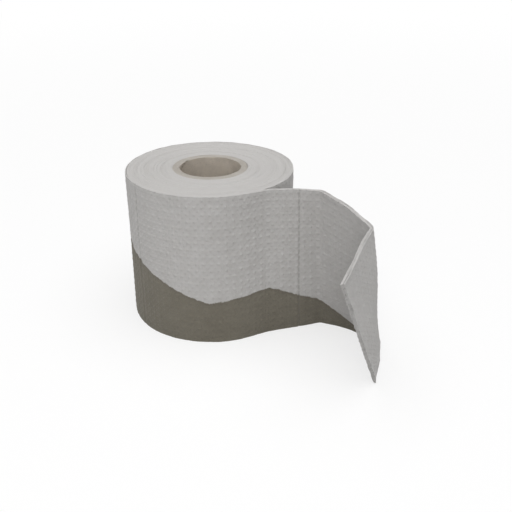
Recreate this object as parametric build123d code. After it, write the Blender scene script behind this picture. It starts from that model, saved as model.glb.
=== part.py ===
"""Toilet paper roll standing on end: one tissue web wound on a paperboard core tube, its free end standing loose.

Millimetres, +Z up along the roll's axis. The origin is on the axis, in the plane of the lower end that the roll
stands on. The web is wound anticlockwise seen from above, leaves the roll at the front right, and curls forward.
"""
from build123d import *
import os
from math import cos, radians, sin

# ---- roll and core ----
WEB_WIDTH = 100.0  # the web's width, which is the roll's length
ROLL_RADIUS = 55.0  # over the outermost turn, where the tail leaves
BORE_RADIUS = 20.0  # inside of the core tube
CORE_WALL = 4.5  # spiral-wound board
WEB_LOFT = 2.2  # the loose outer web, its plies and embossing puffed up

# ---- loose tail, seen from above, along the web's outer face ----
LEAVE_ANGLE = -57.0  # degrees round from +X to where the web leaves the roll
PEEL_ANGLE = 6.0  # degrees between the roll's surface there and the web
BURIED_RUN = 9.0  # how far back the tail's solid starts, inside the roll
FREE_RUN = 9.0  # upright run from the roll to the first bend
FOOT_POINTS = ((73.4, -30.3), (109.5, -51.2), (99.5, -98.3))  # corners of the lower edge, on the floor
HEAD_POINTS = ((68.5, -41.8), (92.0, -85.4), (66.4, -142.6))  # corners of its rulings in the roll's top plane
BEND_RADII = (30.0, 15.0, 13.0)  # web's outer face, from the roll outwards

# ---- trim of the leaning tail's upper edge, which keeps the web's width ----
TRIM_START_Y = -44.0
TRIM_SLOPE = 0.1285  # how fast the upper edge comes down towards the front
TRIM_MARGIN = 10.0


def polar(radius, degrees):
    """A point in plan at that distance from the roll's axis."""
    return Vector(radius * cos(radians(degrees)), radius * sin(radians(degrees)))


def core_tube():
    """The board tube, as long as the web is wide."""
    section = Circle(BORE_RADIUS + CORE_WALL) - Circle(BORE_RADIUS)
    return extrude(section, WEB_WIDTH)


def wound_section():
    """The wound turns in plan. Two half circles make one spiral turn that grows by WEB_LOFT, and the
    step that it ends in lies inside the tail."""
    shift = WEB_LOFT / 4
    under_tail = polar(ROLL_RADIUS - WEB_LOFT, LEAVE_ANGLE)
    far_side = polar(ROLL_RADIUS - WEB_LOFT / 2, LEAVE_ANGLE + 180)
    leaving = polar(ROLL_RADIUS, LEAVE_ANGLE)
    first_middle = polar(shift, LEAVE_ANGLE + 180) + polar(ROLL_RADIUS - 3 * shift, LEAVE_ANGLE + 90)
    last_middle = polar(shift, LEAVE_ANGLE) + polar(ROLL_RADIUS - shift, LEAVE_ANGLE - 90)
    outline = [
        ThreePointArc(under_tail, first_middle, far_side),
        ThreePointArc(far_side, last_middle, leaving),
        Line(leaving, under_tail),
    ]
    return make_face(outline) - Circle(BORE_RADIUS + CORE_WALL)


def tail_section(corners, height):
    """The tail in plan at one height: the web's outer face through these corners, and the same face
    one web thickness further in."""
    leaving = polar(ROLL_RADIUS, LEAVE_ANGLE)
    heading = LEAVE_ANGLE + 90 - PEEL_ANGLE
    start = leaving - polar(BURIED_RUN, heading)
    first_bend = leaving + polar(FREE_RUN, heading)
    outer_face = FilletPolyline(start, first_bend, *corners, radius=list(BEND_RADII))
    band = make_face(offset(outer_face, WEB_LOFT, side=Side.LEFT, closed=True))
    return Pos(0, 0, height) * band


def trim_wedge():
    """What the leaning tail loses above its upper edge, clear of the roll."""
    front_y = min(y for _, y in HEAD_POINTS) - TRIM_MARGIN
    top = WEB_WIDTH + TRIM_MARGIN
    lowest = WEB_WIDTH - TRIM_SLOPE * (TRIM_START_Y - front_y)
    profile = Polyline(
        (TRIM_START_Y, WEB_WIDTH), (front_y, lowest), (front_y, top), (TRIM_START_Y, top), close=True
    )
    side = Plane(origin=(0, 0, 0), x_dir=(0, 1, 0), z_dir=(1, 0, 0)) * make_face(profile)
    near_x = polar(ROLL_RADIUS + FREE_RUN, LEAVE_ANGLE + 5).X
    far_x = max(x for x, _ in FOOT_POINTS) + TRIM_MARGIN
    return Pos(near_x, 0, 0) * extrude(side, far_x - near_x)


def tissue_web():
    """The wound turns and the loose tail, one web."""
    foot = tail_section(FOOT_POINTS, 0)
    head = tail_section(HEAD_POINTS, WEB_WIDTH)
    tail = loft([foot, head], ruled=True) - trim_wedge()
    return extrude(wound_section(), WEB_WIDTH) + tail


os.makedirs("parts", exist_ok=True)
export_step(core_tube(), "parts/core_tube.step")
export_step(tissue_web(), "parts/tissue_web.step")
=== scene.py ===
"""Toilet paper roll standing on end, its loose end standing in a forward curl.

The roll is a web of tissue wound on a spiral-wound board tube. The wound turns, the outer turn with its loose
end, the inner plies of the loose end and the tube are separate pieces. Lengths in code are metres.
"""
import math

import bpy
import numpy as np
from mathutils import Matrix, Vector


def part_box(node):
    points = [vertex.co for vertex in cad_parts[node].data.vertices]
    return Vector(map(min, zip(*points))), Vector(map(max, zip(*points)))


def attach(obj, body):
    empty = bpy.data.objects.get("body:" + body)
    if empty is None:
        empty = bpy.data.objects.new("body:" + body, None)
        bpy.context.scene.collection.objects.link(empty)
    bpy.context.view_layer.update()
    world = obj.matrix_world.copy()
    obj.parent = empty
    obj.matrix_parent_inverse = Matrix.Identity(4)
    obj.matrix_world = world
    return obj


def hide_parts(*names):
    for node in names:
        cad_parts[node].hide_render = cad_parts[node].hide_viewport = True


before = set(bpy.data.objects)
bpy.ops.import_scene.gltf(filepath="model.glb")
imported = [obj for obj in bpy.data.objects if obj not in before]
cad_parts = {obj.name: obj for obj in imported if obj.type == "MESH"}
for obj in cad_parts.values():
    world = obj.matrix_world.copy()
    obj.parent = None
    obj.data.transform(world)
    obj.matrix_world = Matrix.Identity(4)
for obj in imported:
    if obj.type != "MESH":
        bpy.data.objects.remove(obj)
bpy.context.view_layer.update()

bl_info = {
    "name": "Toilet Paper Roll",
    "version": (1, 0, 0),
    "blender": (4, 5, 0),
    "location": "View3D > Sidebar > Paper Roll",
    "description": "Builds a standing toilet paper roll with a loose end, its board core and a plain studio",
    "category": "Add Mesh",
}

CORE_LOW, CORE_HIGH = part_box("core_tube")
WIDTH = CORE_HIGH[2] - CORE_LOW[2]  # the web's width and the tube's length
MM = 0.001
TURN = 2 * math.pi
STATION_SPACING = 1.12 * MM  # between points along the web
STATIONS_ACROSS = 92  # points over the web's width

# The loose end in plan, on the web's outer face, from the roll outwards.
LEAVE_ANGLE = math.radians(-63.0)
FREE_RUN = 14.6 * MM  # from the roll to the first bend
FIRST_BEND_SHARE = 2.5  # the first bend's radius over that of the two sharp ones
FOOT_POINTS = ((0.0734, -0.0303), (0.1095, -0.0512), (0.0995, -0.0983))
HEAD_POINTS = ((0.0685, -0.0418), (0.0920, -0.0854), (0.0664, -0.1426))

# How high dirt has soaked up the outer face, by degrees round the roll from where the web leaves it.
TIDE_ON_ROLL = (
    (-372.0, 0.036), (-342.0, 0.0345), (-297.0, 0.041), (-252.0, 0.049), (-207.0, 0.040), (-162.0, 0.050),
    (-117.0, 0.0600), (-106.0, 0.0575), (-72.0, 0.0447), (-27.0, 0.02835), (0.0, 0.0315),
)
TIDE_AT_BENDS = (0.0333, 0.01945, -0.0020)  # below zero where it has run out
TIDE_PAST_BENDS = (0.06, -0.04)  # how far past the last bend, and how far below the floor it would be there

# How far the web's face stands off its course, in metres: first where it lies on the roll, then what is added
# where it is free.
SAG_HEIGHTS = (0.00007, 0.00035)
EDGE_WAVE_HEIGHTS = (0.00002, 0.00016)
FINE_RIPPLE_HEIGHT = 0.00005
PERFORATION_DEPTH = 0.00018
SLIT_DEPTH = 0.00020
BOND_SPACING = 0.0044  # between the bonds in a row of perforation
FLUTTER_HEIGHT = 0.00022  # of the inner plies, at the edges and the torn end

# The torn end: how unevenly it tore, and the shortest and longest nib that a bond left.
TEAR_UNEVENNESS = 0.00010
NIB_LENGTHS = (0.0002, 0.0007)

# The board tube: plies in its wall, the strips that line it, and how far its rims are eased.
BOARD_PLIES = 6
POINTS_PER_PLY = 5
STRIP_WIDTH = 52 * MM
RIM_EASE = 0.25 * MM
BORE, TOP_RIM, OUTSIDE, LOWER_RIM = range(4)

# Slow rise and fall of the turns' cut ends along the web: turns to one wave, and its height in metres.
END_WAVES = ((0.83, 0.00004), (1.57, 0.00006), (2.9, 0.00008), (6.3, 0.00011), (13.0, 0.00013))

# The studio.
FLOOR_REACH = 6.0
FLOOR_SEEN = (0.94, 0.94, 0.94)  # the floor's colour where the camera sees it
GLOW_SHARE = 0.66  # how much of it there is plain white, rising to all of it away from the roll
GLOW_RISE = (0.25, 1.6)  # from how far to how far that rises
OVERHEAD_ENERGY = 2.22
OVERHEAD_ANGLE = math.radians(80)
OVERHEAD_TILT = math.radians(8)
SOFTBOX_SIZE = 0.9
SOFTBOX_POWER = 6.1
SOFTBOX_PLACE = (-0.10, -1.53, 0.75)
SOFTBOX_TARGET = (0.03, -0.03, 0.05)
SURROUND_STRENGTH = 0.24
CAMERA_LENS = 49.4
CAMERA_PLACE = (0.02988, -0.43682, 0.25113)
CAMERA_TILT = math.radians(63.654)


class RollSizes(bpy.types.PropertyGroup):
    """Sizes of the roll's visible layers."""

    roll_radius: bpy.props.FloatProperty(
        name="Roll Radius", description="Outside of the outermost turn where the loose end leaves",
        default=0.055, unit="LENGTH",
    )
    bore_radius: bpy.props.FloatProperty(
        name="Bore Radius", description="Inside of the board tube", default=0.020, unit="LENGTH"
    )
    core_wall: bpy.props.FloatProperty(
        name="Core Wall", description="Thickness of the board tube", default=0.0045, unit="LENGTH"
    )
    turn_pitch: bpy.props.FloatProperty(
        name="Turn Pitch", description="Radius that one turn of the web takes up", default=0.00075,
        unit="LENGTH",
    )
    ply_thickness: bpy.props.FloatProperty(
        name="Ply Thickness", description="Thickness of one lofty ply", default=0.00064, unit="LENGTH"
    )
    ply_gap: bpy.props.FloatProperty(
        name="Ply Gap", description="How far the plies of the loose end stand apart at its edges",
        default=0.00014, unit="LENGTH",
    )
    bend_radius: bpy.props.FloatProperty(
        name="Bend Radius", description="Radius of the loose end's two sharp bends", default=0.0045,
        unit="LENGTH",
    )
    sheet_length: bpy.props.FloatProperty(
        name="Sheet Length", description="Distance between rows of perforation", default=0.112, unit="LENGTH"
    )
    emboss_pitch: bpy.props.FloatProperty(
        name="Emboss Pitch", description="Distance between embossed pillows", default=0.0066, unit="LENGTH"
    )
    emboss_depth: bpy.props.FloatProperty(
        name="Emboss Depth", description="Height of the embossed pillows", default=0.00020, unit="LENGTH"
    )


class RollColours(bpy.types.PropertyGroup):
    """Colours of the paper, the board, the dirt and the studio, with painted shade in the slits and between
    the turns and painted light on the cut ends and in the bore.
    """

    tissue: bpy.props.FloatVectorProperty(
        name="Tissue", description="Recycled tissue", subtype="COLOR", size=3, min=0, max=1,
        default=(0.570, 0.557, 0.545),
    )
    # Darker fibres in the tissue, and also painted shade on the lower-lying wound turns.
    darker_fibres_and_shade: bpy.props.FloatVectorProperty(
        name="Tissue Shade", description="Darker fibres in the tissue", subtype="COLOR", size=3, min=0, max=1,
        default=(0.485, 0.470, 0.452),
    )
    # Slightly paler than the tissue: partly the cut fibre ends' own paleness, partly painted light that lifts
    # the roll's top.
    cut_edge_painted_light: bpy.props.FloatVectorProperty(
        name="Cut Edge", description="Paler tissue where the ends of the turns were cut", subtype="COLOR",
        size=3, min=0, max=1, default=(0.575, 0.562, 0.550),
    )
    soil: bpy.props.FloatVectorProperty(
        name="Soil", description="Tissue that dirt has soaked into", subtype="COLOR", size=3, min=0, max=1,
        default=(0.197, 0.180, 0.142),
    )
    soil_dark: bpy.props.FloatVectorProperty(
        name="Dark Soil", description="Where the dirt has dried thickest", subtype="COLOR", size=3,
        min=0, max=1, default=(0.150, 0.134, 0.103),
    )
    soiled_fibre: bpy.props.FloatVectorProperty(
        name="Soiled Fibre", description="Strands that stand out of the dirt", subtype="COLOR", size=3,
        min=0, max=1, default=(0.30, 0.28, 0.235),
    )
    pale_fibre: bpy.props.FloatVectorProperty(
        name="Pale Fibre", description="Paler strands in the tissue", subtype="COLOR", size=3, min=0, max=1,
        default=(0.66, 0.65, 0.63),
    )
    fleck: bpy.props.FloatVectorProperty(
        name="Fleck", description="Specks of recycled fibre in the tissue", subtype="COLOR", size=3,
        min=0, max=1, default=(0.38, 0.35, 0.31),
    )
    # Painted shade inside the perforation slits, where the hollow falls dark.
    slit_shade: bpy.props.FloatVectorProperty(
        name="Slit", description="Inside the slits of the perforation", subtype="COLOR", size=3, min=0, max=1,
        default=(0.20, 0.19, 0.175),
    )
    # Painted shade in the gaps between the wound turns.
    turn_gap_shade: bpy.props.FloatVectorProperty(
        name="Turn Gap", description="Dust and shade between the wound turns", subtype="COLOR", size=3,
        min=0, max=1, default=(0.36, 0.345, 0.325),
    )
    board: bpy.props.FloatVectorProperty(
        name="Board", description="Core board", subtype="COLOR", size=3, min=0, max=1,
        default=(0.520, 0.492, 0.455),
    )
    board_shade: bpy.props.FloatVectorProperty(
        name="Board Shade", description="Darker fibres in the board", subtype="COLOR", size=3, min=0, max=1,
        default=(0.400, 0.362, 0.312),
    )
    board_fibre: bpy.props.FloatVectorProperty(
        name="Board Fibre", description="Strands in the board", subtype="COLOR", size=3, min=0, max=1,
        default=(0.52, 0.49, 0.44),
    )
    board_fleck: bpy.props.FloatVectorProperty(
        name="Board Fleck", description="Dark specks in the board", subtype="COLOR", size=3, min=0, max=1,
        default=(0.20, 0.17, 0.13),
    )
    board_seam: bpy.props.FloatVectorProperty(
        name="Board Seam", description="Seams between strips and plies", subtype="COLOR", size=3,
        min=0, max=1, default=(0.20, 0.17, 0.135),
    )
    # Warmer liner board, painted lighter than the outer board to stand in for light inside the shaded bore.
    liner_painted_light: bpy.props.FloatVectorProperty(
        name="Liner", description="Warmer board that lines the bore", subtype="COLOR", size=3, min=0, max=1,
        default=(0.690, 0.620, 0.535),
    )
    floor: bpy.props.FloatVectorProperty(
        name="Floor", description="Plain pale floor", subtype="COLOR", size=3, min=0, max=1,
        default=(0.58, 0.58, 0.58),
    )
    floor_mottle: bpy.props.FloatVectorProperty(
        name="Floor Mottle", description="Slightly darker patches of the floor", subtype="COLOR", size=3,
        min=0, max=1, default=(0.55, 0.55, 0.55),
    )


# ---- shapes shared by the pieces ----


def unit(v):
    """This vector at length one."""
    return v / np.linalg.norm(v)


def ripples(x, y, wavelength, seed, waves=9):
    """A smooth random surface of about unit height: waves of like length from all sides, over x and y."""
    rng = np.random.default_rng(seed)
    total = np.zeros(np.broadcast(x, y).shape)
    for _ in range(waves):
        heading = rng.uniform(0, TURN)
        length = wavelength * rng.uniform(0.7, 1.5)
        phase = rng.uniform(0, TURN)
        total = total + np.sin(TURN * (x * math.cos(heading) + y * math.sin(heading)) / length + phase)
    return total / math.sqrt(waves / 2)


def smoothstep(low, high, x):
    """0 at low, 1 at high and a smooth rise between them; falls where low is above high."""
    t = np.clip((x - low) / (high - low), 0, 1)
    return t * t * (3 - 2 * t)


def grid_faces(rows, columns, start=0, flip=False):
    """Quads over a grid of rows by columns points that starts at index start."""
    first = (np.arange(rows - 1)[:, None] * columns + np.arange(columns - 1)).ravel() + start
    quads = np.stack([first, first + columns, first + columns + 1, first + 1], axis=1)
    return quads[:, ::-1] if flip else quads


def ring_faces(rings, count):
    """Quads between closed rings of count points, from each ring to the next and the last to the first."""
    i = np.arange(count)
    faces = []
    for k in range(rings):
        a, b = k * count, ((k + 1) % rings) * count
        faces.append(np.stack([a + i, b + i, b + (i + 1) % count, a + (i + 1) % count], axis=1))
    return np.concatenate(faces)


def mesh_piece(name, points, faces, material, sharp_degrees=40):
    """A mesh object riding on the roll's body."""
    mesh = bpy.data.meshes.new(name)
    mesh.from_pydata(points.tolist(), [], [tuple(f) for f in faces.tolist()])
    mesh.validate()
    mesh.polygons.foreach_set("use_smooth", np.ones(len(mesh.polygons), bool))
    mesh.set_sharp_from_angle(angle=math.radians(sharp_degrees))
    mesh.materials.append(material)
    piece = bpy.data.objects.new(name, mesh)
    bpy.context.scene.collection.objects.link(piece)
    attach(piece, "root")
    return piece


def store(piece, name, values):
    """Keeps one number for each point, for the material to read."""
    layer = piece.data.attributes.new(name, "FLOAT", "POINT")
    layer.data.foreach_set("value", np.ascontiguousarray(values, np.float32))


def store_place(piece, along, across):
    """Keeps where each point of both faces of a shell lies on the flat web."""
    a, b = np.broadcast_arrays(along[:, None], across[None, :])
    store(piece, "along", np.tile(a.ravel(), 2))
    store(piece, "across", np.tile(b.ravel(), 2))


# ---- the web's course in plan ----


def rounded_course(points, radii):
    """Straight runs and arcs through these corners, each as its length and a function of 0 to 1."""
    points = [np.array(p, float) for p in points]
    runs, here = [], points[0]
    for i, radius in enumerate(radii, start=1):
        before, after = unit(points[i] - points[i - 1]), unit(points[i + 1] - points[i])
        turn = math.atan2(before[0] * after[1] - before[1] * after[0], before @ after)
        tangent = radius * math.tan(abs(turn) / 2)
        entry = points[i] - before * tangent
        side = np.array([-before[1], before[0]]) * math.copysign(1, turn)
        centre = entry + side * radius
        runs.append(straight(here, entry))
        runs.append(arc(centre, entry - centre, turn, radius))
        here = points[i] + after * tangent
    runs.append(straight(here, points[-1]))
    return runs


def straight(start, end):
    """A straight run: its length, and its points by a share of it."""
    return np.linalg.norm(end - start), lambda t: start + (end - start) * t


def arc(centre, spoke, turn, radius):
    """An arc from the tip of this spoke: its length, and its points by a share of it."""

    def at(t):
        c, s = math.cos(turn * t), math.sin(turn * t)
        return centre + np.array([c * spoke[0] - s * spoke[1], s * spoke[0] + c * spoke[1]])

    return abs(turn) * radius, at


def leaving_points(sizes):
    """Where the web leaves the roll, and the corner of its first bend."""
    leave = sizes.roll_radius * np.array([math.cos(LEAVE_ANGLE), math.sin(LEAVE_ANGLE)])
    heading = np.array([-math.sin(LEAVE_ANGLE), math.cos(LEAVE_ANGLE)])
    return leave, leave + heading * FREE_RUN


class WebCourse:
    """Where the web's outer face runs: stations along it, each with its point on the floor and its head."""

    def __init__(self, sizes, spacing, back_turn):
        radius, pitch = sizes.roll_radius, sizes.turn_pitch
        angles = np.arange(-back_turn, 0, spacing / radius)
        leave, first_bend = leaving_points(sizes)
        radii = (FIRST_BEND_SHARE * sizes.bend_radius, sizes.bend_radius, sizes.bend_radius)
        feet = rounded_course([leave, first_bend, *FOOT_POINTS], radii)
        heads = rounded_course([leave, first_bend, *HEAD_POINTS], radii)
        r = radius + pitch * angles / TURN
        on_roll = np.stack([r * np.cos(LEAVE_ANGLE + angles), r * np.sin(LEAVE_ANGLE + angles)], axis=1)
        foot_line, head_line = [on_roll], [on_roll]
        for (foot_length, foot_at), (head_length, head_at) in zip(feet, heads):
            steps = max(2, round((foot_length + head_length) / 2 / spacing))
            ts = np.arange(steps) / steps
            foot_line.append(np.array([foot_at(t) for t in ts]))
            head_line.append(np.array([head_at(t) for t in ts]))
        foot_line.append(np.array([feet[-1][1](1)]))
        head_line.append(np.array([heads[-1][1](1)]))
        self.foot, self.head = np.concatenate(foot_line), np.concatenate(head_line)
        middle = (self.foot + self.head) / 2
        steps = np.linalg.norm(np.diff(middle, axis=0), axis=1)
        self.along = np.concatenate([[0], np.cumsum(steps)])
        self.along -= self.along[len(angles)]  # zero where the web leaves the roll
        self.end = self.along[-1]
        self.start = self.along[0]

    def refined(self, places, reach, spacing):
        """More stations close to these places along the web."""
        extra = [np.arange(p - reach, p + reach, spacing) for p in places]
        extra = np.concatenate(extra)
        extra = extra[(extra > self.start) & (extra < self.end)]
        coarse = [a for a in self.along if all(abs(a - p) > reach for p in places)]
        along = np.unique(np.concatenate([coarse, extra, [self.start, self.end]]))
        self.foot = np.stack([np.interp(along, self.along, self.foot[:, k]) for k in (0, 1)], axis=1)
        self.head = np.stack([np.interp(along, self.along, self.head[:, k]) for k in (0, 1)], axis=1)
        self.along = along
        return self

    def surface(self, across):
        """Points of the outer face and its normals, for these fractions of the web's width."""
        lean = self.head - self.foot
        reach = WIDTH / np.sqrt((lean**2).sum(1) + WIDTH**2)
        t = across[None, :] * reach[:, None]
        points = np.empty((len(self.along), len(across), 3))
        points[..., :2] = self.foot[:, None] + lean[:, None] * t[..., None]
        points[..., 2] = WIDTH * t
        along = np.gradient(points, self.along, axis=0)
        up = np.gradient(points, across, axis=1)
        normals = np.cross(along, up)
        normals /= np.linalg.norm(normals, axis=2, keepdims=True)
        return points, normals


def tide_height(along, sizes):
    """How high the dirt reaches, at each distance along the web from where it leaves the roll."""
    places = [math.radians(a) * sizes.roll_radius for a, _ in TIDE_ON_ROLL]
    heights = [h for _, h in TIDE_ON_ROLL]
    bends = bend_places(sizes)
    past, below = TIDE_PAST_BENDS
    places += [*bends, bends[2] + past]
    heights += [*TIDE_AT_BENDS, below]
    return np.interp(along, places, heights)


def bend_places(sizes):
    """Distances along the web from the roll to the middle of each bend."""
    course = WebCourse(sizes, MM, 0.1)
    corners = [leaving_points(sizes)[1]]
    for foot, head in zip(FOOT_POINTS[:2], HEAD_POINTS[:2]):
        corners.append((np.array(foot) + np.array(head)) / 2)
    middle = (course.foot + course.head) / 2
    return [course.along[np.argmin(np.linalg.norm(middle - c, axis=1))] for c in corners]


def web_height_map(along, height, end, sizes):
    """How far the web's face stands out from its course: pillows, perforations and the way it sags.

    It is stiffer on the roll than in the loose end, where it also waves along its edges.
    """
    a, h = along[:, None], height[None, :]
    diagonal = sizes.emboss_pitch * math.sqrt(2)
    pillows = np.cos(TURN * (a + h) / diagonal) * np.cos(TURN * (a - h) / diagonal)
    edge_fade = 1 - 0.6 * np.exp(-np.minimum(h, WIDTH - h) / 0.002)
    total = sizes.emboss_depth * pillows * edge_fade
    total = total + FINE_RIPPLE_HEIGHT * ripples(a, h, 0.009, 11)
    free = smoothstep(0.0, 0.06, a)
    on_roll, added = SAG_HEIGHTS
    total = total + (on_roll + added * free) * ripples(a, h * 0.45, 0.045, 12, 6)
    on_roll, added = EDGE_WAVE_HEIGHTS
    edge = np.exp(-np.minimum(h, WIDTH - h) / 0.009)
    total = total + edge * (on_roll + added * free) * ripples(a, h * 0, 0.034, 13, 7)
    total = total - PERFORATION_DEPTH * perforated(along, height, end, sizes, 0.0006)
    return total - SLIT_DEPTH * slits(along, height, end, sizes)


def perforated(along, height, end, sizes, spread):
    """How near each point is to a row of perforation, 0 to 1. Rows are one sheet apart, back from the end."""
    rows = np.arange(1, 1 + int((end - along[0]) / sizes.sheet_length))
    away = (along[:, None] - (end - rows[None, :] * sizes.sheet_length)) / spread
    return np.exp(-(away**2)).sum(1)[:, None] * np.ones(len(height))[None, :]


def slits(along, height, end, sizes):
    """1 in the slits of each row of perforation, 0 in the bonds between them and away from the rows."""
    cut = smoothstep(-0.75, -0.35, np.cos(TURN * height / BOND_SPACING))[None, :]
    return cut * perforated(along, height, end, sizes, 0.00042)


def torn_nibs(count, seed):
    """How far each point of the torn end stands out, with a nib at every fourth, where a bond tore."""
    rng = np.random.default_rng(seed)
    nibs = rng.uniform(-TEAR_UNEVENNESS, TEAR_UNEVENNESS, count)
    bonds = np.arange(count) % 4 == seed % 4
    nibs[bonds] += rng.uniform(*NIB_LENGTHS, bonds.sum())
    return nibs


def web_shell(course, across, outer, inner, torn_seed):
    """A closed thin shell between two offsets from the web's course, with its far end torn off."""
    points, normals = course.surface(across)
    direction = points[-1] - points[-3]
    direction /= np.linalg.norm(direction, axis=1, keepdims=True)
    points[-1] += direction * torn_nibs(len(across), torn_seed)[:, None]
    cut = 0.00005 * ripples(course.along, course.along * 0, 0.013, torn_seed + 5)
    points[:, 0, 2] += np.abs(cut)
    points[:, -1, 2] += cut - 0.0001
    top = points + normals * outer[..., None]
    low = points + normals * inner[..., None]
    for face in (top, low):
        face[..., 2] = np.maximum(face[..., 2], 0.0)  # the web stands on the floor
    rows, columns = top.shape[:2]
    count = rows * columns
    index = np.arange(count).reshape(rows, columns)
    rim = np.concatenate([index[:, 0], index[-1, 1:], index[-2::-1, -1], index[0, -2:0:-1]])
    ahead = np.roll(rim, -1)
    walls = np.stack([rim, ahead, ahead + count, rim + count], axis=1)
    faces = np.concatenate([
        grid_faces(rows, columns), grid_faces(rows, columns, count, flip=True), walls[:, ::-1]
    ])
    return np.concatenate([top.reshape(-1, 3), low.reshape(-1, 3)]), faces


# ---- materials ----


def new_group(name, inputs, outputs):
    """An empty shader group with these named number and colour sockets."""
    group = bpy.data.node_groups.new(name, "ShaderNodeTree")
    for label, kind, default in inputs:
        socket = group.interface.new_socket(label, in_out="INPUT", socket_type=kind)
        socket.default_value = default
    for label, kind in outputs:
        group.interface.new_socket(label, in_out="OUTPUT", socket_type=kind)
    return group, group.nodes.new("NodeGroupInput"), group.nodes.new("NodeGroupOutput")


def put(tree, kind, links=None, **settings):
    """Adds a node, sets its properties, and feeds its inputs from sockets or plain values."""
    node = tree.nodes.new(kind)
    for key, value in settings.items():
        setattr(node, key, value)
    for key, value in (links or {}).items():
        if isinstance(value, bpy.types.NodeSocket):
            tree.links.new(value, node.inputs[key])
        else:
            node.inputs[key].default_value = value
    return node


def math_of(tree, operation, a, b=0.0):
    """One step of arithmetic on sockets or numbers."""
    return put(tree, "ShaderNodeMath", {0: a, 1: b}, operation=operation).outputs[0]


def scaled(tree, value, factor):
    """A socket times a number."""
    return math_of(tree, "MULTIPLY", value, factor)


def ranged(tree, value, low, high, to_low=0.0, to_high=1.0, smooth=False):
    """A value carried from one range to another and held at its ends."""
    kind = "SMOOTHSTEP" if smooth else "LINEAR"
    links = {"Value": value, "From Min": low, "From Max": high, "To Min": to_low, "To Max": to_high}
    return put(tree, "ShaderNodeMapRange", links, interpolation_type=kind).outputs["Result"]


def mixed(tree, factor, a, b):
    """Colour a with this much of colour b over it."""
    node = put(tree, "ShaderNodeMix", data_type="RGBA", clamp_factor=True)
    for socket, value in ((node.inputs[0], factor), (node.inputs[6], a), (node.inputs[7], b)):
        if isinstance(value, bpy.types.NodeSocket):
            tree.links.new(value, socket)
        else:
            socket.default_value = value if isinstance(value, (int, float)) else (*tuple(value)[:3], 1)
    return node.outputs[2]


def noise_of(tree, place, scale, detail, roughness, distortion=0.0):
    """Plain noise from 0 to 1."""
    links = {"Vector": place, "Scale": scale, "Detail": detail, "Roughness": roughness}
    links["Distortion"] = distortion
    return put(tree, "ShaderNodeTexNoise", links).outputs["Fac"]


def fibre_grain_group():
    """Matted paper fibres: short crossed strands, a cloudy formation and fine tooth."""
    name = "matted_fibres"
    if name in bpy.data.node_groups:
        return bpy.data.node_groups[name]
    group, inside, out = new_group(
        name,
        [("Place", "NodeSocketVector", (0, 0, 0)), ("Size", "NodeSocketFloat", 1.0)],
        [("Cloud", "NodeSocketFloat"), ("Strands", "NodeSocketFloat"), ("Flecks", "NodeSocketFloat"),
         ("Height", "NodeSocketFloat")],
    )
    resized = put(group, "ShaderNodeVectorMath", {0: inside.outputs["Place"]}, operation="SCALE")
    group.links.new(inside.outputs["Size"], resized.inputs["Scale"])
    place = resized.outputs[0]
    cloud = noise_of(group, place, 140.0, 5.0, 0.6)
    strands = None
    headings = ((0.0, 0.9, 0.3), (0.0, -0.8, 1.4), (0.5, 1.5, 0.0), (0.2, 0.3, 2.2))
    for rotation, fineness in zip(headings, (3600.0, 3100.0, 3900.0, 3300.0)):
        turned = put(group, "ShaderNodeMapping", {"Vector": place, "Rotation": rotation})
        drawn = put(group, "ShaderNodeMapping", {"Vector": turned.outputs[0], "Scale": (0.14, 1.0, 1.0)})
        layer = noise_of(group, drawn.outputs[0], fineness, 2.0, 0.5, 0.8)
        ridge = ranged(group, layer, 0.52, 0.68)
        strands = ridge if strands is None else math_of(group, "MAXIMUM", strands, ridge)
    flecks = ranged(group, noise_of(group, place, 2600.0, 1.0, 0.4), 0.68, 0.73)
    tooth = noise_of(group, place, 3000.0, 3.0, 0.7)
    height = math_of(group, "ADD", scaled(group, strands, 0.6), scaled(group, tooth, 0.4))
    for label, value in (("Cloud", cloud), ("Strands", strands), ("Flecks", flecks), ("Height", height)):
        group.links.new(value, out.inputs[label])
    return group


def soil_group():
    """Dirt soaked up from below, by how far above the tide line a point is, with a dried rim."""
    name = "soaked_dirt"
    if name in bpy.data.node_groups:
        return bpy.data.node_groups[name]
    group, inside, out = new_group(
        name,
        [("Place", "NodeSocketVector", (0, 0, 0)), ("Above", "NodeSocketFloat", 1.0)],
        [("Mask", "NodeSocketFloat"), ("Rim", "NodeSocketFloat"), ("Blotches", "NodeSocketFloat")],
    )
    place = inside.outputs["Place"]
    wander = math_of(group, "SUBTRACT", noise_of(group, place, 190.0, 5.0, 0.62), 0.5)
    feather = math_of(group, "SUBTRACT", noise_of(group, place, 1500.0, 3.0, 0.6), 0.5)
    moved = math_of(group, "ADD", scaled(group, wander, 0.0034), scaled(group, feather, 0.0010))
    level = math_of(group, "ADD", inside.outputs["Above"], moved)
    mask = ranged(group, level, 0.00045, -0.00045, smooth=True)
    rim_outer = ranged(group, level, -0.0030, -0.0002, smooth=True)
    rim = math_of(group, "MULTIPLY", rim_outer, mask)
    blotches = noise_of(group, place, 60.0, 6.0, 0.62, 0.4)
    for label, value in (("Mask", mask), ("Rim", rim), ("Blotches", blotches)):
        group.links.new(value, out.inputs[label])
    return group


def grouped(tree, group, links):
    """Places a shader group and gives back its outputs."""
    node = put(tree, "ShaderNodeGroup", node_tree=group)
    for key, value in links.items():
        if isinstance(value, bpy.types.NodeSocket):
            tree.links.new(value, node.inputs[key])
        else:
            node.inputs[key].default_value = value
    return node.outputs


def attribute(tree, name):
    """A number that the mesh keeps for each point."""
    return put(tree, "ShaderNodeAttribute", attribute_name=name).outputs["Fac"]


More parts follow.
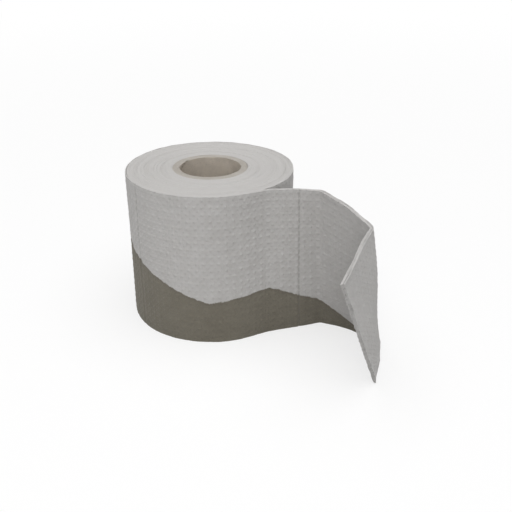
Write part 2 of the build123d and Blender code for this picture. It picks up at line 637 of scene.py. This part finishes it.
def fresh_material(name):
    """A new material with its tree, its shader and places on the object."""
    material = bpy.data.materials.new(name)
    material.use_nodes = True
    tree = material.node_tree
    shader = next(n for n in tree.nodes if n.type == "BSDF_PRINCIPLED")
    place = put(tree, "ShaderNodeTexCoord").outputs["Object"]
    return material, tree, shader, place


def bumped(tree, shader, height, distance):
    """Fine relief in the shader's normal."""
    node = put(tree, "ShaderNodeBump", {"Height": height, "Distance": distance, "Strength": 1.0})
    tree.links.new(node.outputs["Normal"], shader.inputs["Normal"])


def embossed_dots(tree, pitch):
    """Small round dots pressed into the web on a diagonal lattice, by distance along and across the web."""
    along, across = attribute(tree, "along"), attribute(tree, "across")
    waves = []
    for mix in ("ADD", "SUBTRACT"):
        diagonal = math_of(tree, mix, along, across)
        waves.append(math_of(tree, "COSINE", scaled(tree, diagonal, TURN / (pitch * math.sqrt(2)))))
    return ranged(tree, math_of(tree, "ADD", *waves), 0.3, 2.0, smooth=True)


def specked(tree, fibres, colour, colours):
    """Tissue with flecks of recycled fibre over it."""
    return mixed(tree, scaled(tree, fibres["Flecks"], 0.22), colour, colours.fleck)


def blotched_soil(tree, soil, colours):
    """The dirt's colour, thicker in some places than in others."""
    blotch = ranged(tree, soil["Blotches"], 0.38, 0.68)
    return mixed(tree, scaled(tree, blotch, 0.55), colours.soil, colours.soil_dark)


def tissue_material(colours):
    """Soft recycled tissue with creping, matted fibres, dirt soaked into its outer face and painted shade in
    its perforation slits.
    """
    material, tree, shader, place = fresh_material("soft_tissue")
    fibres = grouped(tree, fibre_grain_group(), {"Place": place, "Size": 1.0})
    soil = grouped(tree, soil_group(), {"Place": place, "Above": attribute(tree, "above_tide")})
    cloud = ranged(tree, fibres["Cloud"], 0.35, 0.70)
    clean = mixed(tree, scaled(tree, cloud, 0.45), colours.tissue, colours.darker_fibres_and_shade)
    clean = mixed(tree, scaled(tree, fibres["Strands"], 0.16), clean, colours.pale_fibre)
    clean = specked(tree, fibres, clean, colours)
    dirt = blotched_soil(tree, soil, colours)
    dirt = mixed(tree, scaled(tree, soil["Rim"], 0.55), dirt, colours.soil_dark)
    dirt = mixed(tree, scaled(tree, fibres["Strands"], 0.14), dirt, colours.soiled_fibre)
    colour = mixed(tree, soil["Mask"], clean, dirt)
    # Painted shade in the perforation slits.
    colour = mixed(tree, scaled(tree, attribute(tree, "slit_shade"), 0.42), colour, colours.slit_shade)
    tree.links.new(colour, shader.inputs["Base Color"])
    rough = ranged(tree, fibres["Height"], 0.2, 0.8, 0.96, 0.86)
    rough = math_of(tree, "SUBTRACT", rough, scaled(tree, soil["Rim"], 0.08))
    tree.links.new(rough, shader.inputs["Roughness"])
    crepe_place = put(tree, "ShaderNodeMapping", {"Vector": place, "Scale": (1.0, 1.0, 0.10)}).outputs[0]
    crepe = noise_of(tree, crepe_place, 1500.0, 3.0, 0.6, 0.3)
    height = math_of(tree, "ADD", scaled(tree, crepe, 0.40), scaled(tree, fibres["Height"], 0.17))
    dots = embossed_dots(tree, bpy.context.scene.roll_sizes.emboss_pitch / 2)
    height = math_of(tree, "ADD", height, scaled(tree, dots, 0.43))
    bumped(tree, shader, height, 0.00062)
    shader.inputs["Specular IOR Level"].default_value = 0.22
    shader.inputs["Sheen Weight"].default_value = 0.12
    shader.inputs["Sheen Roughness"].default_value = 0.6
    return material


def wound_material(colours):
    """The cut ends of the wound turns: tissue edges with painted shade in the gaps and on the lower-lying
    turns, and cut ends painted slightly lighter.
    """
    material, tree, shader, place = fresh_material("cut_tissue_edges")
    fibres = grouped(tree, fibre_grain_group(), {"Place": place, "Size": 1.4})
    groove = attribute(tree, "between_turns")
    sunken_turn_shading = attribute(tree, "sunken_turn_shade")
    soil = grouped(tree, soil_group(), {"Place": place, "Above": attribute(tree, "above_tide")})
    cloud = ranged(tree, fibres["Cloud"], 0.35, 0.70)
    # The cut ends are painted slightly lighter: part paler fibre ends, part painted light on the roll's top.
    clean = mixed(tree, scaled(tree, cloud, 0.3), colours.cut_edge_painted_light, colours.tissue)
    # Painted shade on the turns whose cut ends lie lower.
    clean = mixed(tree, scaled(tree, sunken_turn_shading, 0.22), clean, colours.darker_fibres_and_shade)
    # Painted shade in the gaps between turns.
    clean = mixed(tree, scaled(tree, groove, 0.15), clean, colours.turn_gap_shade)
    clean = specked(tree, fibres, clean, colours)
    dirt = blotched_soil(tree, soil, colours)
    tree.links.new(mixed(tree, soil["Mask"], clean, dirt), shader.inputs["Base Color"])
    tree.links.new(ranged(tree, fibres["Height"], 0.2, 0.8, 0.97, 0.88), shader.inputs["Roughness"])
    bumped(tree, shader, fibres["Height"], 0.00010)
    shader.inputs["Specular IOR Level"].default_value = 0.2
    return material


def board_material(colours):
    """Grey-brown board of spiral-wound strips, with fibres along the strips, and a warmer liner in the bore
    painted lighter to stand in for light there.
    """
    material, tree, shader, place = fresh_material("spiral_wound_board")
    fibres = grouped(tree, fibre_grain_group(), {"Place": place, "Size": 0.8})
    seam = attribute(tree, "seam")
    cloud = ranged(tree, fibres["Cloud"], 0.32, 0.70)
    # The bore's liner is warmer board, painted lighter as painted light inside the shaded bore.
    plain = mixed(tree, attribute(tree, "liner_painted_light"), colours.board, colours.liner_painted_light)
    colour = mixed(tree, scaled(tree, cloud, 0.5), plain, colours.board_shade)
    colour = mixed(tree, scaled(tree, fibres["Strands"], 0.22), colour, colours.board_fibre)
    colour = mixed(tree, scaled(tree, fibres["Flecks"], 0.5), colour, colours.board_fleck)
    colour = mixed(tree, scaled(tree, seam, 0.65), colour, colours.board_seam)
    tree.links.new(colour, shader.inputs["Base Color"])
    tree.links.new(ranged(tree, fibres["Height"], 0.2, 0.8, 0.92, 0.78), shader.inputs["Roughness"])
    bumped(tree, shader, fibres["Height"], 0.00018)
    shader.inputs["Specular IOR Level"].default_value = 0.3
    return material


def seen_directly(tree):
    """1 for what the camera sees, straight, mirrored or through glass, and 0 for light on its way."""
    rays = put(tree, "ShaderNodeLightPath").outputs
    seen = math_of(tree, "MAXIMUM", rays["Is Camera Ray"], rays["Is Glossy Ray"])
    return math_of(tree, "MAXIMUM", seen, rays["Is Transmission Ray"])


def floor_material(colours):
    """A pale floor that shows white and keeps the roll's shadow."""
    material, tree, shader, place = fresh_material("pale_floor")
    seen = seen_directly(tree)
    mottle = noise_of(tree, place, 9.0, 3.0, 0.5)
    colour = mixed(tree, scaled(tree, mottle, 0.04), colours.floor, colours.floor_mottle)
    tree.links.new(mixed(tree, seen, colour, FLOOR_SEEN), shader.inputs["Base Color"])
    shader.inputs["Roughness"].default_value = 0.95
    shader.inputs["Specular IOR Level"].default_value = 0.0
    glow = put(tree, "ShaderNodeEmission", {"Color": (1, 1, 1, 1), "Strength": 1.0}).outputs[0]
    away = put(tree, "ShaderNodeVectorMath", {0: place}, operation="LENGTH").outputs["Value"]
    share = math_of(tree, "MULTIPLY", seen, ranged(tree, away, *GLOW_RISE, GLOW_SHARE, 1.0, smooth=True))
    both = put(tree, "ShaderNodeMixShader", {0: share, 1: shader.outputs[0], 2: glow}).outputs[0]
    tree.links.new(both, next(n for n in tree.nodes if n.type == "OUTPUT_MATERIAL").inputs["Surface"])
    return material


def material_named(name, make):
    """The material of this name, made the first time it is asked for."""
    return bpy.data.materials.get(name) or make(bpy.context.scene.roll_colours)


# ---- pieces ----


class ROLL_OT_studio(bpy.types.Operator):
    """Makes the floor, the soft lamps and the camera"""

    bl_idname = "roll.studio"
    bl_label = "Build Studio"

    def execute(self, context):
        scene = context.scene
        corners = [(x * FLOOR_REACH, y * FLOOR_REACH, 0) for x, y in ((-1, -1), (1, -1), (1, 1), (-1, 1))]
        mesh = bpy.data.meshes.new("floor")
        mesh.from_pydata(corners, [], [(0, 1, 2, 3)])
        mesh.materials.append(material_named("pale_floor", floor_material))
        floor = bpy.data.objects.new("floor", mesh)
        scene.collection.objects.link(floor)
        self.overhead(scene)
        self.softbox(scene)
        self.world(scene)
        self.camera(scene)
        scene.view_settings.view_transform = "Standard"
        return {"FINISHED"}

    def overhead(self, scene):
        data = bpy.data.lights.new("overhead_sky", "SUN")
        data.angle = OVERHEAD_ANGLE
        data.energy = OVERHEAD_ENERGY
        lamp = bpy.data.objects.new("overhead_sky", data)
        lamp.rotation_euler = (OVERHEAD_TILT, 0, 0)
        scene.collection.objects.link(lamp)

    def softbox(self, scene):
        data = bpy.data.lights.new("front_softbox", "AREA")
        data.size = SOFTBOX_SIZE
        data.energy = SOFTBOX_POWER
        lamp = bpy.data.objects.new("front_softbox", data)
        lamp.location = SOFTBOX_PLACE
        aim = Vector(SOFTBOX_TARGET) - Vector(SOFTBOX_PLACE)
        lamp.rotation_euler = aim.to_track_quat("-Z", "Y").to_euler()
        scene.collection.objects.link(lamp)

    def world(self, scene):
        world = bpy.data.worlds.new("pale_surround")
        world.use_nodes = True
        tree = world.node_tree
        light = tree.nodes["Background"]
        light.inputs["Color"].default_value = (1, 1, 1, 1)
        light.inputs["Strength"].default_value = SURROUND_STRENGTH
        white = put(tree, "ShaderNodeBackground", {"Color": (1, 1, 1, 1), "Strength": 1.0}).outputs[0]
        parts = {0: seen_directly(tree), 1: light.outputs[0], 2: white}
        both = put(tree, "ShaderNodeMixShader", parts).outputs[0]
        tree.links.new(both, tree.nodes["World Output"].inputs["Surface"])
        scene.world = world

    def camera(self, scene):
        data = bpy.data.cameras.new("camera")
        data.lens = CAMERA_LENS
        data.sensor_width = 36.0
        data.clip_start = 0.01
        camera = bpy.data.objects.new("camera", data)
        camera.location = CAMERA_PLACE
        camera.rotation_euler = (CAMERA_TILT, 0, 0)
        scene.collection.objects.link(camera)
        scene.camera = camera


def tube_outline(sizes):
    """Rings round the tube's wall, starting up the bore: the radius, height and face of each."""
    r_in, r_out = sizes.bore_radius, sizes.bore_radius + sizes.core_wall
    heights = np.linspace(RIM_EASE, WIDTH - RIM_EASE, 91)
    radii = np.linspace(r_in + RIM_EASE, r_out - RIM_EASE, BOARD_PLIES * POINTS_PER_PLY + 1)
    outline = [(r_in, z, BORE) for z in heights]
    outline += [(r, WIDTH, TOP_RIM) for r in radii]
    outline += [(r_out, z, OUTSIDE) for z in heights[::-6]]
    outline += [(r, 0.0, LOWER_RIM) for r in radii[::-1]]
    return outline


def bore_relief(radius, height, around):
    """How far the bore's lining stands back at one height, and the open seam between its strips."""
    place = (height / STRIP_WIDTH + around / TURN + 0.18) % 1.0
    seam = np.exp(-(((place - 0.5) * STRIP_WIDTH) / 0.00055) ** 2)
    lap = 0.00022 * smoothstep(0.5, 0.53, place) * (1 - smoothstep(0.86, 1.0, place))
    return 0.00028 * seam - lap + 0.00006 * ripples(around * radius, height, 0.012, 31), seam


def rim_relief(radius, around, sizes):
    """How far the tube's cut rim stands proud at one radius, and the lines between the board's plies."""
    turn = (radius - sizes.bore_radius) / sizes.core_wall * BOARD_PLIES + around / TURN
    line = np.exp(-(((turn % 1.0) - 0.5) / 0.13) ** 2)
    lift = 0.00007 * ripples(around * radius, np.floor(turn) * 0.02, 0.015, 32)
    return lift - 0.00022 * line, 0.45 * line


class ROLL_OT_core_tube(bpy.types.Operator):
    """Makes the spiral-wound board tube"""

    bl_idname = "roll.core_tube"
    bl_label = "Build Core Tube"

    def execute(self, context):
        sizes = context.scene.roll_sizes
        around = np.linspace(0, TURN, 217)[:-1]
        rings, seams, liner_painted_light = [], [], []
        for ring_radius, ring_height, face in tube_outline(sizes):
            radius = np.full_like(around, ring_radius)
            height = np.full_like(around, ring_height)
            seam = np.zeros_like(around)
            if face == BORE:
                relief, seam = bore_relief(ring_radius, ring_height, around)
                radius += relief
            elif face == TOP_RIM:
                relief, seam = rim_relief(ring_radius, around, sizes)
                height += relief
            elif face == LOWER_RIM:
                relief, seam = rim_relief(ring_radius, around, sizes)
                height = np.maximum(height - relief, 0.0)
            rings.append(np.stack([radius * np.cos(around), radius * np.sin(around), height], axis=1))
            seams.append(seam)
            liner_painted_light.append(np.full_like(around, 1.0 if face == BORE else 0.0))
        material = material_named("spiral_wound_board", board_material)
        faces = ring_faces(len(rings), len(around))
        piece = mesh_piece("board_tube", np.concatenate(rings), faces, material, 60)
        store(piece, "seam", np.concatenate(seams))
        store(piece, "liner_painted_light", np.concatenate(liner_painted_light))
        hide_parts("core_tube")
        return {"FINISHED"}


def cut_end(radius, r_in, r_out, around, pitch):
    """The turns' cut end: how far each point lies below the cut, the gaps between turns, and a mask for
    painted shade on the turns that lie lower.
    """
    spiral = (radius - r_in) / pitch - (around / TURN)[None, :]
    turn_number = np.floor(spiral)
    along = turn_number + (around / TURN)[None, :]  # in turns along the web
    gap = np.exp(-((spiral - turn_number - 0.5) / 0.16) ** 2)
    shift = np.zeros_like(radius)
    rng = np.random.default_rng(5)
    for period, size in END_WAVES:
        shift += size * np.sin(TURN * along / period + rng.uniform(0, TURN))
    looseness = 0.6 + 0.4 * np.sin(TURN * along / 7.7 + 1.0)
    crushed = smoothstep(0.0012, 0.0, r_out[None, :] - radius)
    crushed = crushed + 0.6 * smoothstep(0.0010, 0.0, radius - r_in)
    drop = 0.00020 * gap * looseness + 0.00012 * crushed - shift
    return drop, gap, smoothstep(-0.0002, 0.0003, -shift)


class ROLL_OT_wound_turns(bpy.types.Operator):
    """Makes the wound turns under the outermost one"""

    bl_idname = "roll.wound_turns"
    bl_label = "Build Wound Turns"

    def execute(self, context):
        sizes = context.scene.roll_sizes
        clearance = 0.05 * MM
        r_in = sizes.bore_radius + sizes.core_wall + clearance
        back = np.linspace(-TURN, 0, 211)[:-1]
        around = LEAVE_ANGLE + back
        under_ply = 1.05 * sizes.ply_thickness + clearance
        r_out = sizes.roll_radius + sizes.turn_pitch * back / TURN - under_ply
        rings = int((sizes.roll_radius - r_in) / sizes.turn_pitch * 4)
        radius = r_in + (r_out - r_in)[None, :] * np.linspace(0, 1, rings)[:, None]
        drop, gap, sunken_turn_mask = cut_end(radius, r_in, r_out, around, sizes.turn_pitch)

        def placed(radii, heights):
            return np.stack([radii * np.cos(around), radii * np.sin(around), heights], axis=2)

        wall_heights = np.linspace(0.0015, WIDTH - 0.0015, 24)[::-1]
        on_wall = (len(wall_heights), len(around))
        top = placed(radius, WIDTH - 0.00012 - drop)
        side = placed(np.broadcast_to(r_out, on_wall), np.broadcast_to(wall_heights[:, None], on_wall))
        bottom = placed(radius, np.maximum(0.0003 + drop * 0.8, 0.0))[::-1]
        points = np.concatenate([top, side, bottom])
        material = material_named("cut_tissue_edges", wound_material)
        faces = ring_faces(len(points), len(around))
        piece = mesh_piece("wound_turns", points.reshape(-1, 3), faces, material, 70)
        blank = np.zeros(on_wall)
        # Masks for painted shade in the gaps between turns and on the lower-lying turns.
        store(piece, "between_turns", np.concatenate([gap, blank, gap[::-1]]).ravel())
        store(piece, "sunken_turn_shade", np.concatenate([sunken_turn_mask, blank, sunken_turn_mask[::-1]]).ravel())
        soiled_rim = 0.006
        depth = (r_out[None, :] - radius)[::-1]
        above = np.concatenate([np.ones_like(radius), np.ones(on_wall), depth - soiled_rim])
        store(piece, "above_tide", above.ravel())
        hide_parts("tissue_web")
        return {"FINISHED"}


class ROLL_OT_outer_web(bpy.types.Operator):
    """Makes the outermost turn of the web and its loose end"""

    bl_idname = "roll.outer_web"
    bl_label = "Build Outer Turn And Loose End"

    def execute(self, context):
        sizes = context.scene.roll_sizes
        course = WebCourse(sizes, STATION_SPACING, math.radians(371))
        rows = [course.end - k * sizes.sheet_length for k in range(1, 5)]
        course.refined([r for r in rows if r > course.start], 0.0016, 0.0004)
        across = np.linspace(0, 1, STATIONS_ACROSS)
        heights = across * WIDTH
        outer = web_height_map(course.along, heights, course.end, sizes)
        points, faces = web_shell(course, across, outer, outer - sizes.ply_thickness, 3)
        piece = mesh_piece("outer_ply", points, faces, material_named("soft_tissue", tissue_material), 50)
        above = heights[None, :] - tide_height(course.along, sizes)[:, None]
        store(piece, "above_tide", np.concatenate([above.ravel(), np.maximum(above, 1.0).ravel()]))
        store_place(piece, course.along, heights)
        # The slit mask also places the painted shade in the slits.
        store(piece, "slit_shade", np.tile(slits(course.along, heights, course.end, sizes).ravel(), 2))
        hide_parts("tissue_web")
        return {"FINISHED"}


class ROLL_OT_inner_plies(bpy.types.Operator):
    """Makes the plies behind the face of the loose end"""

    bl_idname = "roll.inner_plies"
    bl_label = "Build Inner Plies"

    def execute(self, context):
        sizes = context.scene.roll_sizes
        across = np.linspace(0, 1, STATIONS_ACROSS)
        heights = across * WIDTH
        for number, name in ((1, "middle_ply"), (2, "inner_ply")):
            course = WebCourse(sizes, STATION_SPACING, 0.14)
            outer = web_height_map(course.along, heights, course.end, sizes)
            a, h = course.along[:, None], heights[None, :]
            edge = np.exp(-np.minimum(h, WIDTH - h) / 0.005)
            near_end = np.exp(-(course.end - a) / 0.007)
            free = smoothstep(-0.001, 0.03, a)
            loft = free * (-0.00003 + sizes.ply_gap * np.clip(edge + near_end, 0, 1))
            flutter = free * (0.5 * edge + near_end * 0.5) * FLUTTER_HEIGHT
            flutter = flutter * ripples(a, h, 0.016, 40 + number)
            face = outer - number * (sizes.ply_thickness + loft) + flutter * number * 0.5
            points, faces = web_shell(course, across, face, face - sizes.ply_thickness, 3 + number)
            piece = mesh_piece(name, points, faces, material_named("soft_tissue", tissue_material), 50)
            store(piece, "above_tide", np.full(len(points), 1.0))
            store_place(piece, course.along, heights)
            # The slit mask also places the painted shade in the slits.
            store(piece, "slit_shade", np.tile(slits(course.along, heights, course.end, sizes).ravel(), 2))
            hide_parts("tissue_web")
        return {"FINISHED"}


class ROLL_PT_panel(bpy.types.Panel):
    """Lists what the roll is built from"""

    bl_idname = "ROLL_PT_panel"
    bl_label = "Paper Roll"
    bl_space_type = "VIEW_3D"
    bl_region_type = "UI"
    bl_category = "Paper Roll"

    def draw(self, context):
        for group in (context.scene.roll_sizes, context.scene.roll_colours):
            box = self.layout.box()
            for name in group.__annotations__:
                box.prop(group, name)
        for operator in BUILDERS:
            self.layout.operator(operator.bl_idname)


BUILDERS = (ROLL_OT_studio, ROLL_OT_core_tube, ROLL_OT_wound_turns, ROLL_OT_outer_web, ROLL_OT_inner_plies)
CLASSES = (RollSizes, RollColours, *BUILDERS, ROLL_PT_panel)


def register():
    for cls in CLASSES:
        bpy.utils.register_class(cls)
    bpy.types.Scene.roll_sizes = bpy.props.PointerProperty(type=RollSizes)
    bpy.types.Scene.roll_colours = bpy.props.PointerProperty(type=RollColours)


def unregister():
    del bpy.types.Scene.roll_colours
    del bpy.types.Scene.roll_sizes
    for cls in reversed(CLASSES):
        bpy.utils.unregister_class(cls)


def main():
    """Builds everything in order."""
    register()
    bpy.ops.roll.studio()
    bpy.ops.roll.core_tube()
    bpy.ops.roll.wound_turns()
    bpy.ops.roll.outer_web()
    bpy.ops.roll.inner_plies()


if __name__ == "__main__":
    main()
